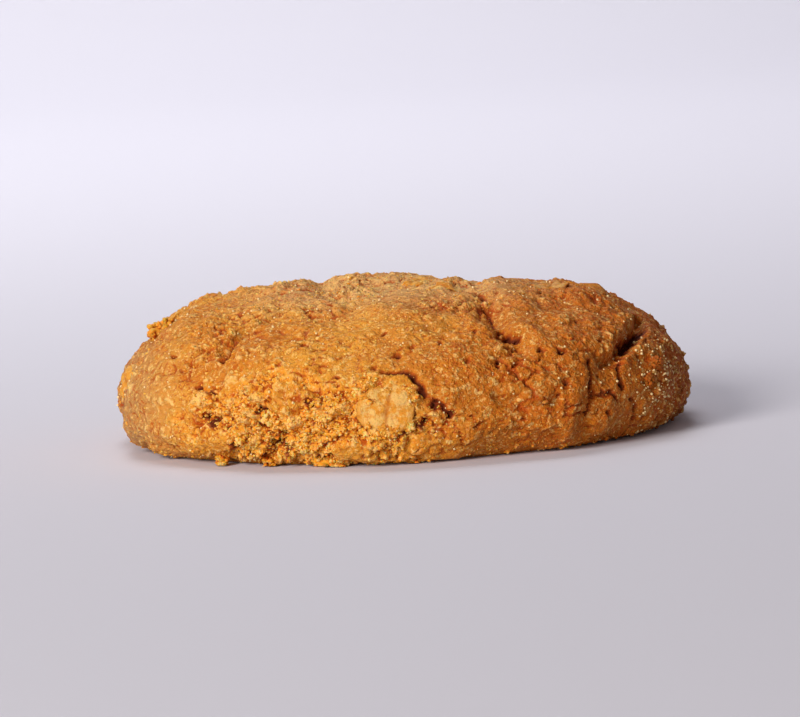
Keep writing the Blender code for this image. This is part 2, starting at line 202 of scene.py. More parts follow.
# Pits that show at the front: azimuth, distance along the crust, radius
SHOWN_PITS = (
    (-133, 38.7, 0.7), (-136, 35.0, 0.6), (-94, 25.9, 0.45), (-91, 30.5, 0.6), (-87, 29.2, 0.5),
    (-43, 27.9, 0.5), (-117, 42.4, 1.1), (-119, 41.6, 0.8), (-88, 30.2, 0.4), (-90, 29.4, 0.4),
    (-96, 31.0, 0.35), (-64, 28.4, 0.7), (-84, 37.8, 0.8), (-81, 39.1, 0.6), (-127, 40.0, 0.6),
    (-47, 40.9, 0.5), (-51, 42.2, 0.4), (-62, 35.0, 0.5), (-60, 35.3, 0.4), (-55, 33.0, 0.6),
    (-69, 32.8, 0.6), (-70, 33.6, 0.5), (-68, 33.6, 0.4), (-57, 36.8, 0.5), (-59, 38.0, 0.4),
    (-44, 32.4, 0.4), (-134, 30.2, 0.5), (-122, 36.0, 0.5), (-103, 33.6, 0.5), (-75, 36.4, 0.4),
)
DOUGH_TRIANGLES = 196000
SPHERE_SUBDIVISIONS = 8
DOUGH_SEED = 5


def profile():
    """Radius and height from the top centre, over the rim, to the base centre."""
    crown = np.radians(np.linspace(90, 0, PROFILE_STEPS))
    under = np.radians(np.linspace(0, -90, PROFILE_STEPS))[1:]
    power = 2 / CROWN_FULLNESS
    crown_radius = RADIUS * np.clip(np.cos(crown), 0, 1) ** power
    crown_height = WAIST_HEIGHT + (HEIGHT - WAIST_HEIGHT) * np.sin(crown) ** power
    under_radius = BASE_RADIUS + (RADIUS - BASE_RADIUS) * np.cos(under)
    under_height = WAIST_HEIGHT * (1 + np.sin(under))
    base_radius = np.linspace(BASE_RADIUS, 0, PROFILE_STEPS)[1:]
    radius = np.concatenate((crown_radius, under_radius, base_radius))
    height = np.concatenate((crown_height, under_height, np.zeros_like(base_radius)))
    return radius, height


PROFILE_RADIUS, PROFILE_Z = profile()
PROFILE_STEP = np.hypot(np.diff(PROFILE_RADIUS), np.diff(PROFILE_Z))
PROFILE_ALONG = np.concatenate(([0], np.cumsum(PROFILE_STEP)))
RING_AREA = PROFILE_STEP * (PROFILE_RADIUS[1:] + PROFILE_RADIUS[:-1]) * math.pi
PROFILE_AREA = np.concatenate(([0], np.cumsum(RING_AREA)))
BASE_EDGE = PROFILE_ALONG[-PROFILE_STEPS]


def profile_at(along):
    return np.interp(along, PROFILE_ALONG, PROFILE_RADIUS), np.interp(along, PROFILE_ALONG, PROFILE_Z)


def smooth_crust(azimuth, along):
    """Points and outward normals of the smooth dough, for arrays of places in radians and metres."""
    radius, height = profile_at(along)
    ahead = profile_at(np.clip(along + SLOPE_STEP, 0, PROFILE_ALONG[-1]))
    behind = profile_at(np.clip(along - SLOPE_STEP, 0, PROFILE_ALONG[-1]))
    run_out = ahead[0] - behind[0]
    run_up = ahead[1] - behind[1]
    run = np.hypot(run_out, run_up)
    points = np.stack((radius * np.cos(azimuth), radius * np.sin(azimuth), height), axis=-1)
    normals = np.stack((-run_up * np.cos(azimuth), -run_up * np.sin(azimuth), run_out), axis=-1)
    return points, normals / run[:, None]


def place(azimuth_degrees, along_mm):
    azimuth = np.array([math.radians(azimuth_degrees)])
    return smooth_crust(azimuth, np.array([along_mm * MM]))


def noise_field(points, size, seed):
    shift = Vector([seed * step for step in SEED_SHIFT])
    return np.array([noise.noise(Vector(point) / size + shift) for point in points])


def rough(points, kind):
    """Noise of one kind, which says its size across, its height and its seed."""
    size, height, seed = kind
    return noise_field(points, size, seed) * height


def bent(points, size, reach, seed):
    """The points pushed about by soft noise, so that what is drawn on them loses its round shapes."""
    return points + np.stack([noise_field(points, size, seed + axis) for axis in range(3)], axis=-1) * reach


def billows(points, size, seed):
    """Puffed lumps of two sizes with sharp creases between them: above 0 on a lump, below in a crease."""
    smaller, share, step = SMALL_BILLOWS
    large = np.abs(noise_field(points, size, seed))
    small = np.abs(noise_field(points, size / smaller, seed + step))
    return large + share * small - BILLOW_MEAN


def smooth_step(value):
    value = np.clip(value, 0, 1)
    return value * value * (3 - 2 * value)


def distance_to_line(points, line):
    nearest = np.full(len(points), np.inf)
    for start, end in zip(line[:-1], line[1:]):
        run = end - start
        share = np.clip((points - start) @ run / (run @ run), 0, 1)
        nearest = np.minimum(nearest, np.linalg.norm(points - start - share[:, None] * run, axis=1))
    return nearest


def crack_depth(points, cracks, wander):
    """How far the cracks cut into the crust, each a wandering V that closes at its ends."""
    depth = np.zeros(len(points))
    for half_width, deepest, places in cracks.values():
        line = np.concatenate([place(azimuth, along)[0] for azimuth, along in places])
        away = distance_to_line(points + wander, line) / (half_width * MM)
        depth = np.maximum(depth, deepest * MM * np.clip(1 - away, 0, 1) ** CRACK_WALL)
    return depth


def broken_share(points, azimuth, along, border):
    """1 inside the broken edge, 0 outside, with a ragged border."""
    turn = (azimuth - math.radians(BROKEN_AZIMUTH) + math.pi) % (2 * math.pi) - math.pi
    across = turn * RADIUS / BROKEN_HALF_WIDTH
    down = (along - BROKEN_ALONG) / BROKEN_HALF_HEIGHT
    return smooth_step((1 - np.hypot(across, down) + rough(points, BROKEN_RAGGED)) / border + 0.5)


def form(points):
    """The slow swells of the dough, without its texture."""
    height = rough(points, ROUND_SWELL) + rough(points, BROAD_LUMPS)
    for mound_azimuth, mound_along, spread, rise in MOUNDS:
        centre = place(mound_azimuth, mound_along)[0]
        away = np.linalg.norm(points - centre, axis=1) / (spread * MM)
        height += rise * MM * np.exp(-away ** 2)
    return height


def spread_flakes():
    """All the flakes: those at the front, then the others, over the whole crust and well apart."""
    draw = random.Random(FLAKE_SEED)
    look = random.Random(FLAKE_SEED + 1)
    crust_area = np.interp(FLAKE_LOWEST, PROFILE_ALONG, PROFILE_AREA)
    flakes = list(FRONT_FLAKES)
    taken = [Vector(place(flake[0], flake[1])[0][0]) for flake in flakes]
    while len(flakes) < len(FRONT_FLAKES) + OTHER_FLAKES:
        azimuth = draw.uniform(-180, 180)
        along = float(np.interp(draw.uniform(0, crust_area), PROFILE_AREA, PROFILE_ALONG)) / MM
        length = draw.uniform(*FLAKE_LENGTHS) / MM
        width = length * draw.uniform(*FLAKE_SLIMNESS)
        turn = draw.uniform(0, 180)
        spot = Vector(place(azimuth, along)[0][0])
        if all((spot - other).length > FLAKE_SPACING for other in taken):
            taken.append(spot)
            shows = look.random() < SHOWN_SHARE[azimuth < 0]
            flakes.append((azimuth, along, length, width, turn, look.random() if shows else None))
    return flakes


FLAKES = spread_flakes()


def crust_axes(azimuth_degrees, along_mm, turn_degrees):
    """Middle, long axis, short axis and outward normal of a small thing that lies on the crust."""
    points, normals = place(azimuth_degrees, along_mm)
    normal = Vector(normals[0])
    down = Vector((0, 0, -1)) if abs(normal.z) < NEARLY_LEVEL else Vector((0, -1, 0))
    sideways = normal.cross(down).normalized()
    turned = Matrix.Rotation(math.radians(turn_degrees), 3, normal)
    return Vector(points[0]), turned @ sideways, turned @ normal.cross(sideways), normal


def skin_over_flakes(points):
    """How far the flakes lift the skin, or open it, and the share by which they press the crumb flat."""
    lift = np.zeros(len(points))
    pressed = np.zeros(len(points))
    ragged = rough(points, FLAKE_RAGGED)
    for azimuth, along, length, width, turn, paleness in FLAKES:
        middle, long_axis, short_axis, normal = (np.array(axis) for axis in crust_axes(azimuth, along, turn))
        offset = points - middle
        reach = np.hypot(offset @ long_axis / (length / 2), offset @ short_axis / (width / 2)) / MM
        reach += np.abs(offset @ normal) / FLAKE_DEPTH + ragged
        over = smooth_step((SKIN_RISES[0] - reach) / SKIN_RISES[1])
        if paleness is None:
            lift = np.maximum(lift, SKIN_OVER_FLAKE * over)
        else:
            inside = smooth_step((SKIN_OPENS[0] - reach) / SKIN_OPENS[1])
            lift += over * SKIN_LIP - inside * (SKIN_LIP + SKIN_OPENING)
        pressed = np.maximum(pressed, smooth_step((SKIN_PRESSED[0] - reach) / SKIN_PRESSED[1]))
    return lift, pressed * PRESSED_SHARE


def tree_of(points):
    """A tree that finds the points that are near to a place."""
    tree = kdtree.KDTree(len(points))
    for index, point in enumerate(points):
        tree.insert(point, index)
    tree.balance()
    return tree


def pit_depth(points, opened):
    """Small ragged holes that steam left, the larger ones where the crumb lies open."""
    draw = random.Random(DOUGH_SEED)
    tree = tree_of(bent(points, *PIT_WARP))
    pits = [(Vector(place(azimuth, along)[0][0]), radius * MM) for azimuth, along, radius in SHOWN_PITS]
    skin = np.flatnonzero((points[:, 2] > 0) & (opened < SKIN_ENDS)).tolist()
    crumb = np.flatnonzero(opened > OPEN_BEGINS).tolist()
    for places, (count, smallest, largest) in ((skin, SKIN_PITS), (crumb, OPEN_PITS)):
        for index in draw.sample(places, count):
            pits.append((Vector(points[index]), smallest + (largest - smallest) * draw.random() ** 3))
    depth = np.zeros(len(points))
    for centre, radius in pits:
        for _, index, away in tree.find_range(centre, radius):
            depth[index] = max(depth[index], PIT_DEPTH * radius * (1 - away / radius))
    return depth


def relief(points, azimuth, along):
    """Height of the crust over the smooth dough, as in the frame's solid, and where flakes press it."""
    wander = bent(points, *CRACK_WANDER) - points
    size, lump_height, seed = DOUGH_LUMPS
    lumps = (np.abs(noise_field(points, size, seed)) - LUMP_MEAN) * lump_height
    height = form(points) + lumps + rough(points, COARSE_CRUMB) - crack_depth(points, CRACKS, wander)
    lift, pressed = skin_over_flakes(points)
    broken = broken_share(points, azimuth, along, BROKEN_BORDER) * (1 - pressed)
    height += broken * (rough(points, BROKEN_CRUMB) - BROKEN_LOSS) + lift
    return height, pressed, wander


def raised(points, normals, along, height):
    """Points of the crust at this height over the smooth dough, shifted on to the frame's solid."""
    fade = smooth_step((BASE_EDGE - along) / RIM_FADE)
    lowest = points[:, 2] * UNDERSIDE_KEEP
    points = points + normals * (height * fade)[:, None]
    points[:, 2] = np.maximum(points[:, 2], lowest)
    return points + np.array(AXIS_SHIFT), fade


def underside(points, along):
    """Shallow hollows and pits of the baked base, which rise into the dough."""
    height = np.zeros(len(points))
    for size, start, depth, seed in (BASE_HOLLOWS, BASE_PITS):
        height += np.clip(noise_field(points, size, seed) - start, 0, 1) * depth
    return height * smooth_step((along - BASE_EDGE) / BASE_FADE)


def worn_open(points, azimuth, along, pressed):
    """1 where the crumb lies open, 0 where the skin is whole."""
    size, low, high, seed = OPEN_PATCHES
    patchy = smooth_step((noise_field(points, size, seed) - low) / (high - low))
    broken = broken_share(points, azimuth, along, OPEN_BORDER)
    return np.maximum(broken, OPEN_PATCH_SHARE * patchy) * (1 - pressed)


def fine_relief(points, opened):
    """Grain and crinkles of the crust: low where the skin is smooth, high where the crumb lies open."""
    size, depth, width, seed = CRINKLES
    creases = np.clip(1 - np.abs(noise_field(points, size, seed)) / width, 0, 1)
    crowded = np.clip(rough(points, CRINKLED) + CRINKLED_EVERYWHERE, 0, 1)
    rise = rough(points, FINE_RELIEF) - creases * crowded * depth
    coarse = SMOOTH_KEEPS + (1 - SMOOTH_KEEPS) * smooth_step(rough(points, SMOOTH_SKIN) + 0.5)
    rise *= coarse
    for size, skin, crumb, seed in CRUMB_GRAINS:
        skin = skin * coarse
        rise += billows(points, size, seed) * (skin + opened * (crumb - skin))
    return rise


def dough_surface(azimuth, along):
    """Points of the baked crust, with how hollow, how open and how high each is."""
    points, normals = smooth_crust(azimuth, along)
    height, pressed, wander = relief(points, azimuth, along)
    opened = worn_open(points, azimuth, along, pressed)
    rise = fine_relief(points, opened)
    ragged = bent(points, *FINE_WANDER) - points
    hollow = crack_depth(points, FINE_CRACKS, wander + ragged) + pit_depth(points, opened)
    base = underside(points, along)
    points, fade = raised(points, normals, along, height + rise - hollow)
    points[:, 2] += base
    return points, {
        "hollow": (hollow * fade + base) / MM,
        "opened": opened * fade,
        "rise": rise * fade / MM,
        "along": along / MM,
    }


def store(mesh, name, values):
    """Keeps one number for each point of the mesh, for its material."""
    layer = mesh.attributes.new(name, 'FLOAT', 'POINT')
    layer.data.foreach_set("value", np.asarray(values, np.float32))


def new_object(name, data):
    made = bpy.data.objects.new(name, data)
    bpy.context.scene.collection.objects.link(made)
    return made


def points_of(mesh):
    flat = np.empty(len(mesh.vertices) * 3, np.float32)
    mesh.vertices.foreach_get("co", flat)
    return flat.reshape(-1, 3).astype(float)


def dough_mesh():
    """A sphere spread over the crust by equal areas, raised to the real crust, then thinned out."""
    mesh = bpy.data.meshes.new("cookie_dough")
    shape = bmesh.new()
    bmesh.ops.create_icosphere(shape, subdivisions=SPHERE_SUBDIVISIONS, radius=1)
    shape.to_mesh(mesh)
    shape.free()
    ball = points_of(mesh)
    azimuth = np.arctan2(ball[:, 1], ball[:, 0])
    area = np.clip((1 - ball[:, 2]) / 2, 0, 1) * PROFILE_AREA[-1]
    along = np.interp(area, PROFILE_AREA, PROFILE_ALONG)
    points, kept = dough_surface(azimuth, along)
    mesh.vertices.foreach_set("co", points.astype(np.float32).ravel())
    mesh.update()
    tree = tree_of(points)
    piece = new_object("cookie_dough", mesh)
    thin_out = piece.modifiers.new("thin out", 'DECIMATE')
    thin_out.ratio = DOUGH_TRIANGLES / len(mesh.polygons)
    graph = bpy.context.evaluated_depsgraph_get()
    piece.data = bpy.data.meshes.new_from_object(piece.evaluated_get(graph))
    piece.modifiers.clear()
    source = [tree.find(point)[1] for point in points_of(piece.data)]
    for name, values in kept.items():
        store(piece.data, name, values[source])
    piece.data.shade_smooth()
    return piece


class Finish:
    """A material and the few kinds of node that the pieces of the cookie need."""

    def __init__(self, name):
        self.material = bpy.data.materials.new(name)
        self.material.use_nodes = True
        self.tree = self.material.node_tree
        self.shader = self.tree.nodes["Principled BSDF"]
        self.place = self.tree.nodes.new("ShaderNodeTexCoord").outputs["Object"]

    def link(self, source, target):
        self.tree.links.new(source, target)

    def patches(self, size_mm, detail=3.0, rough=0.55):
        """Soft noise of this size across, from 0 to 1."""
        node = self.tree.nodes.new("ShaderNodeTexNoise")
        node.inputs["Scale"].default_value = 1 / (size_mm * MM)
        node.inputs["Detail"].default_value = detail
        node.inputs["Roughness"].default_value = rough
        self.link(self.place, node.inputs["Vector"])
        return node.outputs["Fac"]

    def joined(self, first, second, how='ADD'):
        """Adds two numbers, or joins them another way."""
        node = self.tree.nodes.new("ShaderNodeMath")
        node.operation = how
        for value, socket in ((first, node.inputs[0]), (second, node.inputs[1])):
            if isinstance(value, bpy.types.NodeSocket):
                self.link(value, socket)
            else:
                socket.default_value = value
        return node.outputs["Value"]

    def creased(self, size_mm):
        """Puffed lumps of three sizes with sharp creases: 0 where all crease, about 1 on the lumps."""
        height = 0.0
        for octave in range(3):
            soft = self.patches(size_mm / 2 ** octave, 0.0)
            lump = self.joined(self.joined(soft, 0.5, 'SUBTRACT'), 0.0, 'ABSOLUTE')
            height = self.joined(self.joined(lump, 5.0 / 1.5 ** octave, 'MULTIPLY'), height)
        return height

    def kept(self, name):
        """A number that the mesh keeps for each point."""
        node = self.tree.nodes.new("ShaderNodeAttribute")
        node.attribute_name = name
        return node.outputs["Fac"]

    def ramp(self, value, low, high, at_low=0.0, at_high=1.0):
        """Turns value, from low to high, into at_low to at_high."""
        node = self.tree.nodes.new("ShaderNodeMapRange")
        node.interpolation_type = 'SMOOTHSTEP'
        node.inputs["From Min"].default_value = low
        node.inputs["From Max"].default_value = high
        node.inputs["To Min"].default_value = at_low
        node.inputs["To Max"].default_value = at_high
        self.link(value, node.inputs["Value"])
        return node.outputs["Result"]

    def mix(self, share, first, second, how='MIX'):
        """Mixes two colours, each a colour or another node's colour."""
        node = self.tree.nodes.new("ShaderNodeMix")
        node.data_type = 'RGBA'
        node.blend_type = how
        for value, socket in ((share, node.inputs[0]), (first, node.inputs[6]), (second, node.inputs[7])):
            if isinstance(value, bpy.types.NodeSocket):
                self.link(value, socket)
            elif isinstance(value, tuple):
                socket.default_value = (*value, 1.0)
            else:
                socket.default_value = value
        return node.outputs[2]

    def across(self):
        """Distance to the right of the cookie's middle, in mm."""
        apart = self.tree.nodes.new("ShaderNodeSeparateXYZ")
        self.link(self.place, apart.inputs["Vector"])
        return self.joined(apart.outputs["X"], MM, 'DIVIDE')

    def coats(self, colour, layers):
        """Lays colours on. For each: what it follows, where that starts and is full, the most it covers."""
        for value, low, high, most, laid in layers:
            colour = self.mix(self.ramp(value, low, high, 0, most), colour, laid)
        return colour

    def surface(self, colour, smoothest, roughest, normal):
        """Joins the colour, a patchy shine and the bumps to the shader."""
        patchy = self.ramp(self.patches(0.9, 4), 0.3, 0.7, smoothest, roughest)
        for value, name in ((colour, "Base Color"), (patchy, "Roughness"), (normal, "Normal")):
            self.link(value, self.shader.inputs[name])

    def soften(self, weight):
        """Lets light glow a little way through the baked crumb, red furthest, and keeps its shine low."""
        self.shader.inputs["Subsurface Weight"].default_value = weight
        self.shader.inputs["Subsurface Radius"].default_value = (1.0, 0.30, 0.06)
        self.shader.inputs["Subsurface Scale"].default_value = 0.5 * MM
        self.shader.inputs["Specular IOR Level"].default_value = 0.20

    def bump(self, height, depth_mm, below=None):
        node = self.tree.nodes.new("ShaderNodeBump")
        node.inputs["Distance"].default_value = depth_mm * MM
        self.link(height, node.inputs["Height"])
        if below is not None:
            self.link(below, node.inputs["Normal"])
        return node.outputs["Normal"]


GOLDEN = (0.710, 0.294, 0.027)
# Toasted brown of random patches and of the lower rim; where it is laid on the right side it is painted
# shade
TOASTED_AND_SHADE = (0.480, 0.116, 0.004)
ORANGE = (0.680, 0.200, 0.005)
SANDY = (0.840, 0.505, 0.155)
# Flour dust and painted sheen on the crown
DUST_AND_SHEEN = (0.690, 0.425, 0.185)
# Painted sheen and painted shade on the left edge
EDGE_SHEEN_AND_SHADE = (0.430, 0.205, 0.075)
# Painted shade on the far right edge
SHADE_BROWN = (0.300, 0.060, 0.003)
YELLOW = (0.940, 0.370, 0.024)
# Red-brown of random patches; also painted shade in creases, cracks, pits and under crumbs
REDDISH_TONE_AND_SHADE = (0.420, 0.062, 0.001)
# Painted shade in the deepest pits and cracks
PIT_SHADE_BROWN = (0.110, 0.012, 0.001)
# Pale flecks of grain; also painted highlight on the tops of grains, lumps and crumbs
PALE_GRAIN_AND_HIGHLIGHT = (0.950, 0.625, 0.210)


def dough_finish():
    finish = Finish("baked_dough")
    crust = finish.coats(GOLDEN, (
        (finish.patches(13), 0.42, 0.66, 0.6, TOASTED_AND_SHADE),
        # Painted shade: the right side, away from the lamps, turns browner
        (finish.across(), -4, 22, 0.90, TOASTED_AND_SHADE),
        # Painted shade: the right edge turns deep brown
        (finish.across(), 27, 33, 0.90, SHADE_BROWN),
        # Painted sheen, with some flour dust: the crown turns paler
        (finish.kept("along"), 26, 8, 0.60, DUST_AND_SHEEN),
        # Painted sheen and painted shade: the left edge turns paler and darker
        (finish.across(), -23, -33, 0.80, EDGE_SHEEN_AND_SHADE),
        (finish.patches(2.2, 5, 0.6), 0.50, 0.66, 0.5, ORANGE),
        (finish.patches(0.60, 4, 0.65), 0.54, 0.64, 0.65, SANDY),
        (finish.patches(0.9, 5, 0.65), 0.57, 0.66, 0.6, REDDISH_TONE_AND_SHADE),
        (finish.kept("opened"), 0.2, 0.9, 0.7, YELLOW),
        # Painted shade: low places of the fine relief turn red-brown. Painted highlight: high places turn
        # pale
        (finish.kept("rise"), 0.00, -0.22, 0.9, REDDISH_TONE_AND_SHADE),
        (finish.kept("rise"), 0.16, 0.55, 0.6, PALE_GRAIN_AND_HIGHLIGHT),
    ))
    crumbs = finish.creased(1.0)
    crinkled = finish.ramp(finish.patches(4.5, 4), 0.40, 0.60, 0.15, 0.80)
    # Painted shade: the creases between the puffed lumps turn red-brown
    creases = finish.joined(finish.ramp(crumbs, 0.90, 0.30), crinkled, 'MULTIPLY')
    crust = finish.coats(finish.mix(creases, crust, REDDISH_TONE_AND_SHADE), (
        # Painted highlight: the tops of the puffed lumps turn pale
        (crumbs, 1.6, 2.6, 0.6, PALE_GRAIN_AND_HIGHLIGHT),
        (finish.patches(0.35, 2), 0.66, 0.74, 0.6, PALE_GRAIN_AND_HIGHLIGHT),
        (finish.kept("along"), 43.0, 48.0, 0.6, TOASTED_AND_SHADE),
        # Painted shade: cracks and pits turn red-brown, and near black where they are deepest
        (finish.kept("hollow"), 0.04, 0.25, 0.8, REDDISH_TONE_AND_SHADE),
        (finish.kept("hollow"), 0.20, 0.70, 0.95, PIT_SHADE_BROWN),
    ))
    sand = finish.bump(finish.patches(0.22, 3, 0.7), 0.05)
    grain = finish.bump(crumbs, 0.08, sand)
    finish.surface(crust, 0.55, 0.85, finish.bump(finish.patches(1.6, 5, 0.65), 0.35, grain))
    finish.soften(0.18)
    return finish.material


dough = dough_mesh()
dough.data.materials.clear()
dough.data.materials.append(dough_finish())
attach(dough, "root")
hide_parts("cookie")

# The oat flakes
# Rolled oats that were stirred into the dough: thin oval flakes with a groove and frayed rims. They lie
# half sunk in the crust, where the dough's skin and crumbs cover part of each rim.

FLAKE_SECTORS = 28
# Rings of a flake from the top middle, over the rim, to the bottom middle: share of its reach, and side
FLAKE_RINGS = (
    (0.25, 1), (0.5, 1), (0.7, 1), (0.85, 1), (0.95, 1), (1.0, 0),
    (0.95, -1), (0.85, -1), (0.7, -1), (0.5, -1), (0.25, -1),
)
FLAKE_THICKNESS = 0.5 * MM
FLAKE_LIFT = (0.02 * MM, 0.14 * MM)
FLAKE_GROOVE = (0.35 * MM, 0.22 * MM)
FLAKE_RIPPLE = (1.3 * MM, 0.50 * MM, 71)
# Waves of the frayed rim: how many round it, their height as a share of its reach, and how much of that
# height a flake has
FLAKE_FRAY = ((2, 0.09), (3, 0.11), (5, 0.08), (7, 0.05), (9, 0.04), (14, 0.02))
FRAY_DRAWN = (0.4, 1.0)
# How many places across are felt for the dough under a flake, and from how far out
FEELERS = 7
FEEL_FROM = 4 * MM
CLEAR_OF_BASE = 0.12 * MM


dough_points = points_of(dough.data)
dough.data.calc_loop_triangles()
dough_triangles = np.empty((len(dough.data.loop_triangles), 3), np.int32)
dough.data.loop_triangles.foreach_get("vertices", dough_triangles.ravel())
dough_tree = bvhtree.BVHTree.FromPolygons(dough_points.tolist(), dough_triangles.tolist())


def square_terms(x, y):
    return np.stack((np.ones_like(x), x, y, x * x, x * y, y * y), axis=-1)


def bed(axes, length, width):
    """A smooth curved bed for one flake: the quadratic that best fits the dough under it."""
    middle, long_axis, short_axis, normal = axes
    middle = middle + Vector(AXIS_SHIFT)
    spots = []
    heights = []
    for x in (np.linspace(-0.5, 0.5, FEELERS) * length).tolist():
        for y in (np.linspace(-0.5, 0.5, FEELERS) * width).tolist():
            start = middle + x * long_axis + y * short_axis + FEEL_FROM * normal
            reach = dough_tree.ray_cast(start, -normal, 2 * FEEL_FROM)[3]
            if reach is not None:
                spots.append((x, y))
                heights.append(FEEL_FROM - reach)
    spots = np.array(spots)
    return np.linalg.lstsq(square_terms(spots[:, 0], spots[:, 1]), np.array(heights), rcond=None)[0]


def flake_points(axes, length, width, draw):
    """Points of one flake, from its top middle over the rings to its bottom middle."""
    middle, long_axis, short_axis, normal = (np.array(axis) for axis in axes)
    angle = np.tile(np.arange(FLAKE_SECTORS) * 2 * math.pi / FLAKE_SECTORS, len(FLAKE_RINGS))
    share, side = (np.repeat(values, FLAKE_SECTORS) for values in zip(*FLAKE_RINGS))
    fray = np.ones_like(angle)
    for waves, height in FLAKE_FRAY:
        fray += height * draw.uniform(*FRAY_DRAWN) * np.sin(waves * angle + draw.uniform(0, 2 * math.pi))
    ends = np.zeros(1)
    x = np.concatenate((ends, 0.5 * length * share * fray * np.cos(angle), ends))
    y = np.concatenate((ends, 0.5 * width * share * fray * np.sin(angle), ends))
    share = np.concatenate((ends, share, ends))
    side = np.concatenate((ends + 1, side, ends - 1))
    flat = middle + np.array(AXIS_SHIFT) + x[:, None] * long_axis + y[:, None] * short_axis
    level = square_terms(x, y) @ bed(axes, length, width) + draw.uniform(*FLAKE_LIFT)
    level += rough(flat, FLAKE_RIPPLE)
    groove = np.exp(-(y / FLAKE_GROOVE[0]) ** 2) * (1 - share ** 4)
    level -= FLAKE_GROOVE[1] * groove
    level += side * 0.5 * FLAKE_THICKNESS * np.sqrt(1 - share ** 3)
    points = flat + level[:, None] * normal
    points[:, 2] = np.maximum(points[:, 2], CLEAR_OF_BASE)
    return points, share, groove * (side > 0)


def flake_triangles():
    """The faces that join a flake's rings, the same for each flake."""
    faces = []
    last = 1 + (len(FLAKE_RINGS) - 1) * FLAKE_SECTORS
    for sector in range(FLAKE_SECTORS):
        following = (sector + 1) % FLAKE_SECTORS
        faces.append((0, 1 + sector, 1 + following))
        for ring in range(len(FLAKE_RINGS) - 1):
            near = 1 + ring * FLAKE_SECTORS
            far = near + FLAKE_SECTORS
            faces.append((near + sector, far + sector, far + following))
            faces.append((near + sector, far + following, near + following))
        faces.append((last + sector, last + FLAKE_SECTORS, last + following))
    return np.array(faces)


def mesh_from(name, points, faces):
    """A mesh of triangles, from arrays."""
    mesh = bpy.data.meshes.new(name)
    mesh.vertices.add(len(points))
    mesh.vertices.foreach_set("co", points.astype(np.float32).ravel())
    mesh.loops.add(faces.size)
    mesh.loops.foreach_set("vertex_index", faces.astype(np.int32).ravel())
    mesh.polygons.add(len(faces))
    mesh.polygons.foreach_set("loop_start", np.arange(0, faces.size, 3, dtype=np.int32))
    mesh.update(calc_edges=True)
    mesh.validate()
    return mesh


def oat_flakes():
    draw = random.Random(FLAKE_SEED + 2)
    template = flake_triangles()
    parts = []
    shown = [flake for flake in FLAKES if flake[-1] is not None]
    for number, (azimuth, along, length, width, turn, pale) in enumerate(shown):
        axes = crust_axes(azimuth, along, turn)
        points, share, groove = flake_points(axes, length * MM, width * MM, draw)
        faces = template + number * len(points)
        parts.append((points, faces, share, groove, np.full(len(points), pale)))
    points, faces, *kept = (np.concatenate(part) for part in zip(*parts))
    mesh = mesh_from("oat_flakes", points, faces)
    for name, values in zip(("rim", "groove", "paleness"), kept):
        store(mesh, name, values)
    mesh.shade_smooth()
    return new_object("oat_flakes", mesh)


OAT_GOLD = (0.860, 0.380, 0.045)
OAT_PALE = (0.930, 0.550, 0.165)
OAT_AMBER = (0.820, 0.300, 0.018)
OAT_BRAN = (0.600, 0.170, 0.008)


def oat_finish():
    finish = Finish("oat_flake")
    husk = finish.patches(0.7, 5, 0.7)
    oat = finish.coats(OAT_GOLD, (
        (finish.kept("paleness"), 0.0, 1.0, 1.0, OAT_PALE),
        (finish.patches(2.2, 5, 0.70), 0.47, 0.56, 0.9, OAT_AMBER),
        (finish.patches(0.8, 4, 0.65), 0.54, 0.62, 0.9, OAT_PALE),
        (husk, 0.46, 0.32, 0.7, OAT_BRAN),
        (finish.kept("groove"), 0.3, 1.0, 0.8, OAT_BRAN),
        (finish.kept("rim"), 0.75, 1.0, 0.8, OAT_AMBER),
        # Painted shade: flakes on the right side turn browner
        (finish.across(), 10, 28, 0.7, TOASTED_AND_SHADE),
    ))
    fibres = finish.bump(finish.patches(0.25, 4, 0.7), 0.12)
    finish.surface(oat, 0.50, 0.75, finish.bump(husk, 0.50, fibres))
    finish.soften(0.15)
    return finish.material


flakes = oat_flakes()
flakes.data.materials.append(oat_finish())
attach(flakes, "root")

# The crumbs
# Bits of the dough itself: crumbs that broke loose at the edge and baked on again, and the fine gritty
# grain that covers the whole crust. They lie part sunk, thickest where the crumb lies open.

# Larger crumbs that show: azimuth, distance along the crust, radius
SHOWN_CRUMBS = (
    (180, 29.2, 1.2), (-177, 27.4, 0.9), (-107, 45.4, 1.7), (-104, 45.0, 1.2), (-120, 45.6, 1.0),
    (-88, 45.8, 0.9), (-117, 38.6, 1.0), (-106, 39.0, 0.9), (-124, 41.2, 1.1), (-110, 42.6, 1.0),
    (-97, 46.0, 0.9), (-131, 44.5, 0.9), (-89, 40.0, 0.6), (-98, 40.6, 0.7), (-99, 35.6, 0.6),
    (-34, 38.0, 0.8), (-31, 36.4, 0.8),
)
# Each is a core with smaller bits round it. Shares of its radius: how far out the core is, the core's
# radius, and how far off the bits are
CORE_RISE = 0.1
CORE_RADIUS = 0.75
CLUSTER_REACH = 0.72
CRUMBS_IN_CLUSTER = 34
CLUSTER_RADII = (0.16 * MM, 0.42 * MM)
# The rest: how many, their radii, how strongly the small ones prevail, and how far out or in their middles
# are, as a share of their radii
CRUMBS = 1800
CRUMB_RADII = (0.12 * MM, 0.36 * MM)
CRUMB_POWER = 3
CRUMB_RISE = (-0.6, 0.2)
GRAINS = 9400
GRAIN_RADII = (0.10 * MM, 0.24 * MM)
GRAIN_POWER = 2
GRAIN_SINK = (0.4, 0.8)
# How rough the bits are, as a share of their radii, and how they are stretched
CRUMB_SHAPE = (0.42, (0.55, 1.25))
GRAIN_SHAPE = (0.25, (0.6, 1.4))
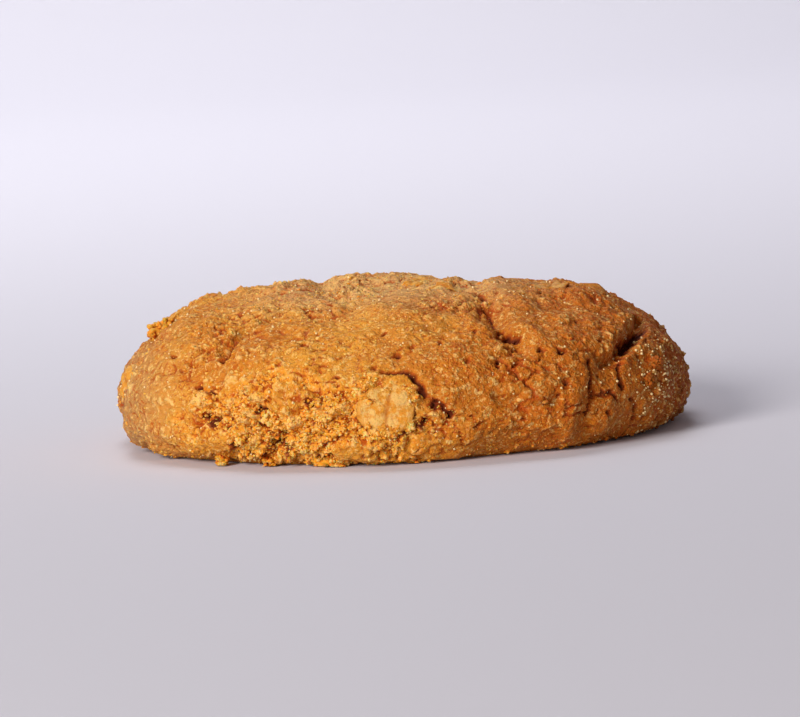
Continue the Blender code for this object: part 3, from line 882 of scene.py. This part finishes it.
# How thick the crumbs lie, against 1 in the open crumb: everywhere, banked up round the large flake, and
# low down at the front. How thick the grit lies everywhere
CRUMBS_EVERYWHERE = 0.004
CRUMBS_BANKED = 1.4
CRUMBS_LOW_DOWN = 0.25
LOW_ALONG = 44
GRAINS_EVERYWHERE = 0.5
# Crumbs bank up round the large flake in the open crumb. Its length and width together, over how far off
# the bank is; the bank's width in mm; size, gain and seed of the noise that breaks it up
BANK_RATIO = 4.2
BANK_WIDTH = 0.8
BANK_GAPS = (2.4 * MM, 2.5, 93)
CRUMB_SEED = 23


def dough_kept(name):
    """What the dough's mesh keeps for each point, as the mean over each triangle."""
    values = np.empty(len(dough.data.vertices), np.float32)
    dough.data.attributes[name].data.foreach_get("value", values)
    return values[dough_triangles].mean(axis=1)


corner = dough_points[dough_triangles]
face_normal = np.cross(corner[:, 1] - corner[:, 0], corner[:, 2] - corner[:, 0])
face_area = np.linalg.norm(face_normal, axis=1) / 2
face_normal /= np.maximum(2 * face_area, 1e-12)[:, None]
face_middle = corner.mean(axis=1)
opened = dough_kept("opened")
along_mm = dough_kept("along")
above_base = (along_mm < BASE_EDGE / MM).astype(float)
azimuth, along, length, width, *_ = FLAKES[0]
away = np.linalg.norm(face_middle - place(azimuth, along)[0] - np.array(AXIS_SHIFT), axis=1) / MM
near_flake = np.exp(-((away - (length + width) / BANK_RATIO) / BANK_WIDTH) ** 2)
near_flake *= smooth_step(rough(face_middle, BANK_GAPS) + 0.5)


def spots_on_dough(count, weight, draw):
    """Random places on the dough's triangles, by their area and this weight, with the normals there."""
    chance = face_area * weight
    chosen = draw.choice(len(face_area), size=count, p=chance / chance.sum())
    u, v = draw.random((2, count, 1))
    over = u + v > 1
    u, v = np.where(over, 1 - u, u), np.where(over, 1 - v, v)
    first, second, third = (corner[chosen, index] for index in range(3))
    return first + u * (second - first) + v * (third - first), face_normal[chosen]


def points_and_faces(shape):
    points = np.array([vertex.co for vertex in shape.verts])
    faces = np.array([[vertex.index for vertex in face.verts] for face in shape.faces])
    shape.free()
    return points, faces


def ball(subdivisions):
    shape = bmesh.new()
    bmesh.ops.create_icosphere(shape, subdivisions=subdivisions, radius=1)
    return points_and_faces(shape)


def uneven_radii(radii, count, power, draw):
    """Random radii from the first to the second, more of them near the first."""
    return radii[0] + (radii[1] - radii[0]) * draw.random(count) ** power


def random_turns(count, draw):
    """Random rotation matrices, from random unit quaternions."""
    turns = draw.normal(size=(4, count))
    w, x, y, z = turns / np.linalg.norm(turns, axis=0)
    return np.stack((
        1 - 2 * (y * y + z * z), 2 * (x * y - z * w), 2 * (x * z + y * w),
        2 * (x * y + z * w), 1 - 2 * (x * x + z * z), 2 * (y * z - x * w),
        2 * (x * z - y * w), 2 * (y * z + x * w), 1 - 2 * (x * x + y * y),
    ), axis=-1).reshape(count, 3, 3)


def strewn(name, shape, places, draw, uneven, stretch):
    """One mesh of many small bits, each of the same shape, turned, stretched and roughened its own way."""
    middles, normals, radii = places
    template, faces = shape
    count = len(middles)
    reach = 1 + uneven * draw.uniform(-1, 1, size=(count, len(template)))
    stretched = template[None] * reach[:, :, None] * draw.uniform(*stretch, size=(count, 1, 3))
    points = np.einsum("nij,nkj->nki", random_turns(count, draw), stretched)
    height = np.einsum("nki,ni->nk", points, normals)
    points = points * radii[:, None, None] + middles[:, None, :]
    points[:, :, 2] = np.maximum(points[:, :, 2], CLEAR_OF_BASE)
    all_faces = faces[None] + (np.arange(count) * len(template))[:, None, None]
    mesh = mesh_from(name, points.reshape(-1, 3), all_faces.reshape(-1, 3))
    store(mesh, "tint", np.repeat(draw.random(count), len(template)))
    store(mesh, "height", height.ravel())
    return new_object(name, mesh)


def crumb_places(draw):
    """Middles, outward normals and radii: a cluster at each crumb that shows, then the rest."""
    places = []
    for azimuth, along, radius in SHOWN_CRUMBS:
        middle, *_, normal = crust_axes(azimuth, along, 0)
        middle = middle + Vector(AXIS_SHIFT)
        hit = dough_tree.ray_cast(middle + FEEL_FROM * normal, -normal, 2 * FEEL_FROM)[0] or middle
        core = np.array(hit) + CORE_RISE * radius * MM * np.array(normal)
        away = draw.normal(size=(CRUMBS_IN_CLUSTER, 3))
        away *= CLUSTER_REACH * radius * MM / np.linalg.norm(away, axis=1)[:, None]
        outward = np.tile(np.array(normal), (CRUMBS_IN_CLUSTER + 1, 1))
        radii = np.append(CORE_RADIUS * radius * MM, draw.uniform(*CLUSTER_RADII, CRUMBS_IN_CLUSTER))
        places.append((np.vstack((core, core + away)), outward, radii))
    weight = above_base * (CRUMBS_EVERYWHERE + opened ** 4 + CRUMBS_BANKED * near_flake)
    weight += above_base * CRUMBS_LOW_DOWN * (along_mm > LOW_ALONG) * (face_middle[:, 1] < 0)
    spots, normals = spots_on_dough(CRUMBS, weight, draw)
    size = uneven_radii(CRUMB_RADII, CRUMBS, CRUMB_POWER, draw)
    places.append((spots + normals * (size * draw.uniform(*CRUMB_RISE, CRUMBS))[:, None], normals, size))
    return [np.concatenate(part) for part in zip(*places)]


CRUMB_GOLD = (0.800, 0.250, 0.012)


def crumb_finish():
    finish = Finish("cookie_crumb")
    corners = finish.patches(0.4, 4, 0.65)
    crumb = finish.coats(finish.mix(finish.kept("tint"), CRUMB_GOLD, YELLOW), (
        # Painted highlight: the outer tops of the crumbs turn pale
        (finish.kept("height"), 0.35, 1.0, 0.8, PALE_GRAIN_AND_HIGHLIGHT),
        (corners, 0.48, 0.34, 0.8, CRUMB_GOLD),
        # Painted shade: crumbs on the right side turn browner, and deep brown at the right edge
        (finish.across(), -4, 26, 0.80, TOASTED_AND_SHADE),
        (finish.across(), 20, 32, 0.80, SHADE_BROWN),
        (finish.across(), -16, -30, 0.60, GOLDEN),
        # Painted shade: the sunk undersides of the crumbs turn red-brown
        (finish.kept("height"), 0.2, -0.6, 0.9, REDDISH_TONE_AND_SHADE),
    ))
    finish.surface(crumb, 0.55, 0.80, finish.bump(corners, 0.20))
    finish.soften(0.5)
    return finish.material


draw = np.random.default_rng(CRUMB_SEED)
crumbs = strewn("baked_on_crumbs", ball(2), crumb_places(draw), draw, *CRUMB_SHAPE)
crumbs.data.shade_smooth()
grain_weight = above_base * (GRAINS_EVERYWHERE + opened + near_flake)
grain_spots, grain_normals = spots_on_dough(GRAINS, grain_weight, draw)
grain_radii = uneven_radii(GRAIN_RADII, GRAINS, GRAIN_POWER, draw)
grain_middles = grain_spots - grain_normals * (grain_radii * draw.uniform(*GRAIN_SINK, GRAINS))[:, None]
grit = strewn("baked_on_grit", ball(1), (grain_middles, grain_normals, grain_radii), draw, *GRAIN_SHAPE)
for bits in (crumbs, grit):
    bits.data.materials.append(crumb_finish())
    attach(bits, "root")

# The sugar
# Crystals of the sugar that the ball of dough was rolled in. Most melted, and the rest stay as small
# clear blocks, thickest in one patch at the right of the front.

SUGAR_CRYSTALS = 800
SUGAR_RADII = (0.08 * MM, 0.19 * MM)
# Shares of their radii: how far out their middles are, how rough they are, and how stretched
SUGAR_RISE = 0.35
SUGAR_SHAPE = (0.08, (0.75, 1.25))
# The thick patch: azimuth, distance along the crust, reach
SUGAR_PATCH = (-31, 38.7, 4.2)
# The sprinkled places: size across and seed of their noise, and how high it is where they start
SUGAR_SPRINKLE = (4 * MM, 91)
SPRINKLE_START = 0.1
# How thick they lie: everywhere, in the sprinkled places, in the open crumb, and in the thick patch
SUGAR_THIN = 0.02
SUGAR_SPRINKLED = 0.4
SUGAR_IN_CRUMB = 0.03
SUGAR_THICK = 1.2
SUGAR_SEED = 31
SUGAR_CLEAR = (0.900, 0.660, 0.310)


def block():
    """A cube with its faces split into triangles, one unit from its middle to a corner."""
    shape = bmesh.new()
    bmesh.ops.create_cube(shape, size=2 / math.sqrt(3))
    bmesh.ops.triangulate(shape, faces=shape.faces[:])
    return points_and_faces(shape)


def sugar_finish():
    finish = Finish("sugar")
    finish.shader.inputs["Base Color"].default_value = (*SUGAR_CLEAR, 1.0)
    finish.shader.inputs["Specular IOR Level"].default_value = 0.5
    finish.link(finish.ramp(finish.kept("tint"), 0.0, 1.0, 0.12, 0.45), finish.shader.inputs["Roughness"])
    finish.link(finish.bump(finish.patches(0.15, 2), 0.02), finish.shader.inputs["Normal"])
    return finish.material


draw = np.random.default_rng(SUGAR_SEED)
patch_away = np.linalg.norm(face_middle - place(*SUGAR_PATCH[:2])[0] - np.array(AXIS_SHIFT), axis=1)
in_patch = np.exp(-(patch_away / (SUGAR_PATCH[2] * MM)) ** 2)
sprinkled = np.clip(noise_field(face_middle, *SUGAR_SPRINKLE) - SPRINKLE_START, 0, 1)
sugar_weight = SUGAR_THIN + SUGAR_SPRINKLED * sprinkled + SUGAR_IN_CRUMB * opened + SUGAR_THICK * in_patch
sugar_weight *= above_base
sugar_spots, sugar_normals = spots_on_dough(SUGAR_CRYSTALS, sugar_weight, draw)
sugar_radii = draw.uniform(*SUGAR_RADII, size=SUGAR_CRYSTALS)
sugar_middles = sugar_spots + sugar_normals * (SUGAR_RISE * sugar_radii)[:, None]
sugar_places = (sugar_middles, sugar_normals, sugar_radii)
sugar = strewn("sugar_crystals", block(), sugar_places, draw, *SUGAR_SHAPE)
sugar.data.materials.append(sugar_finish())
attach(sugar, "root")

# The floor, the light and the camera
# A pale sheet that runs up behind the cookie, a large soft lamp at the front left, a weaker one low down
# beside it, one over the sheet behind, and the camera low at the front, a little over the cookie's rim.

FLOOR_HALF = 1.2
SHEET_TOP = 1.4
SWEEP_START = 0.55
SWEEP_RADIUS = 0.45
SWEEP_STEPS = 16
PAPER = (0.68, 0.665, 0.745)
ROOM_LIGHT = (1.0, 0.93, 0.90)
ROOM_STRENGTH = 0.17
CAMERA_DISTANCE = 0.80
CAMERA_ELEVATION = 6.5
CAMERA_ROLL = 3.0
CAMERA_TARGET = (0.0, 0.0, 0.0085)
COOKIE_SHARE = 0.72
SENSOR_WIDTH = 36
# Name, size, power, place, colour, the place that it is aimed at, and its spread in degrees
LAMPS = (
    ("key_lamp", 0.45, 10.0, (-0.60, -0.80, 0.46), (1.0, 0.97, 0.92), CAMERA_TARGET, 180),
    ("low_lamp", 0.40, 3.2, (-0.40, -0.92, 0.08), (1.0, 0.97, 0.93), CAMERA_TARGET, 180),
    ("back_lamp", 0.60, 2.0, (-0.16, 0.46, 0.80), (0.97, 0.98, 1.0), (-0.16, 0.46, 0.0), 90),
)


def pale_sheet():
    rows = [(-FLOOR_HALF, 0.0)]
    for step in range(SWEEP_STEPS + 1):
        angle = math.pi / 2 * step / SWEEP_STEPS
        rows.append((SWEEP_START + SWEEP_RADIUS * math.sin(angle), SWEEP_RADIUS * (1 - math.cos(angle))))
    rows.append((SWEEP_START + SWEEP_RADIUS, SHEET_TOP))
    corners = []
    faces = []
    for y, z in rows:
        corners.append((-FLOOR_HALF, y, z))
        corners.append((FLOOR_HALF, y, z))
    for row in range(len(rows) - 1):
        first = 2 * row
        faces.append((first, first + 1, first + 3, first + 2))
    mesh = bpy.data.meshes.new("floor")
    mesh.from_pydata(corners, [], faces)
    mesh.shade_smooth()
    sheet = new_object("floor", mesh)
    paper = Finish("pale_paper")
    paper.shader.inputs["Base Color"].default_value = (*PAPER, 1.0)
    paper.shader.inputs["Roughness"].default_value = 0.9
    mesh.materials.append(paper.material)


def soft_lamp(name, size, power, place_from, colour, aimed_at, spread):
    lamp = bpy.data.lights.new(name, 'AREA')
    lamp.shape = 'DISK'
    lamp.size = size
    lamp.energy = power
    lamp.spread = math.radians(spread)
    lamp.color = colour
    holder = new_object(name, lamp)
    holder.location = place_from
    aim = Vector(aimed_at) - Vector(place_from)
    holder.rotation_euler = aim.to_track_quat('-Z', 'Y').to_euler()


def room_light():
    world = bpy.data.worlds.new("studio")
    bpy.context.scene.world = world
    world.use_nodes = True
    back = world.node_tree.nodes["Background"]
    back.inputs["Color"].default_value = (*ROOM_LIGHT, 1.0)
    back.inputs["Strength"].default_value = ROOM_STRENGTH


def camera():
    data = bpy.data.cameras.new("camera")
    data.sensor_width = SENSOR_WIDTH
    data.lens = SENSOR_WIDTH * COOKIE_SHARE * CAMERA_DISTANCE / (2 * RADIUS)
    holder = new_object("camera", data)
    rise = math.radians(CAMERA_ELEVATION)
    target = Vector(CAMERA_TARGET)
    holder.location = target + CAMERA_DISTANCE * Vector((0, -math.cos(rise), math.sin(rise)))
    look = (target - holder.location).to_track_quat('-Z', 'Y').to_matrix().to_4x4()
    roll = Matrix.Rotation(math.radians(-CAMERA_ROLL), 4, 'Z')
    holder.matrix_world = Matrix.Translation(holder.location) @ look @ roll
    bpy.context.scene.camera = holder


pale_sheet()
for lamp in LAMPS:
    soft_lamp(*lamp)
room_light()
camera()
bpy.context.scene.view_settings.view_transform = 'Standard'
